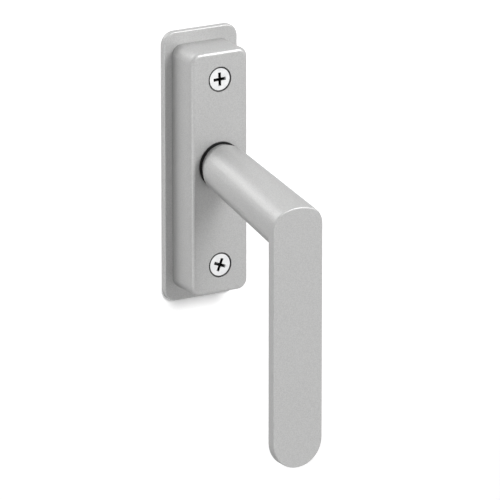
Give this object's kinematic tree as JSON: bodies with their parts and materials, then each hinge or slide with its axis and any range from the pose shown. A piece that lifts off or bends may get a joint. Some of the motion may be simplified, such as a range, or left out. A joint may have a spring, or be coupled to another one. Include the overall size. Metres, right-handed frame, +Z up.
{
  "type": "sliding door latch handle",
  "caption": "Turning lever handle for a sliding door latch: flat blade on a round neck, box housing on a thin back plate, square spindle behind.",
  "frame": {"origin": "where the spindle axis meets the door face, which is the back of the back plate", "axes": "+X to the right seen from the room, +Y into the door along the spindle, +Z up; the lever hangs along -Z at rest"},
  "size_m": [0.0326, 0.0972, 0.1576],
  "materials": {
    "satin_metal": "satin anodised look, fine grain",
    "zinc_steel": "bright zinc plated",
    "steel": "drawn steel",
    "spring_steel": "hardened and oiled",
    "black_nylon": "moulded, matt"
  },
  "bodies": {
    "escutcheon": {"back_plate": "satin_metal", "housing": "satin_metal", "neck_bush": "black_nylon", "rear_bush": "black_nylon", "thrust_washer": "steel", "detent_spring_left": "spring_steel", "detent_spring_right": "spring_steel", "screw_upper": "zinc_steel", "screw_lower": "zinc_steel", "plate_screw_upper": "zinc_steel", "plate_screw_lower": "zinc_steel"},
    "lever": {"lever": "satin_metal", "disc_spring": "spring_steel", "retaining_ring": "spring_steel", "spindle": "steel", "spindle_pin": "spring_steel", "index_cam": "steel"}
  },
  "joints": [
    {"name": "lever_turn", "type": "hinge", "parent": "escutcheon", "child": "lever", "pos_m": [0, 0, 0], "axis": [0, 1, 0], "range_deg": [-90, 90], "deforming": ["detent_spring_left", "detent_spring_right"]}
  ]
}
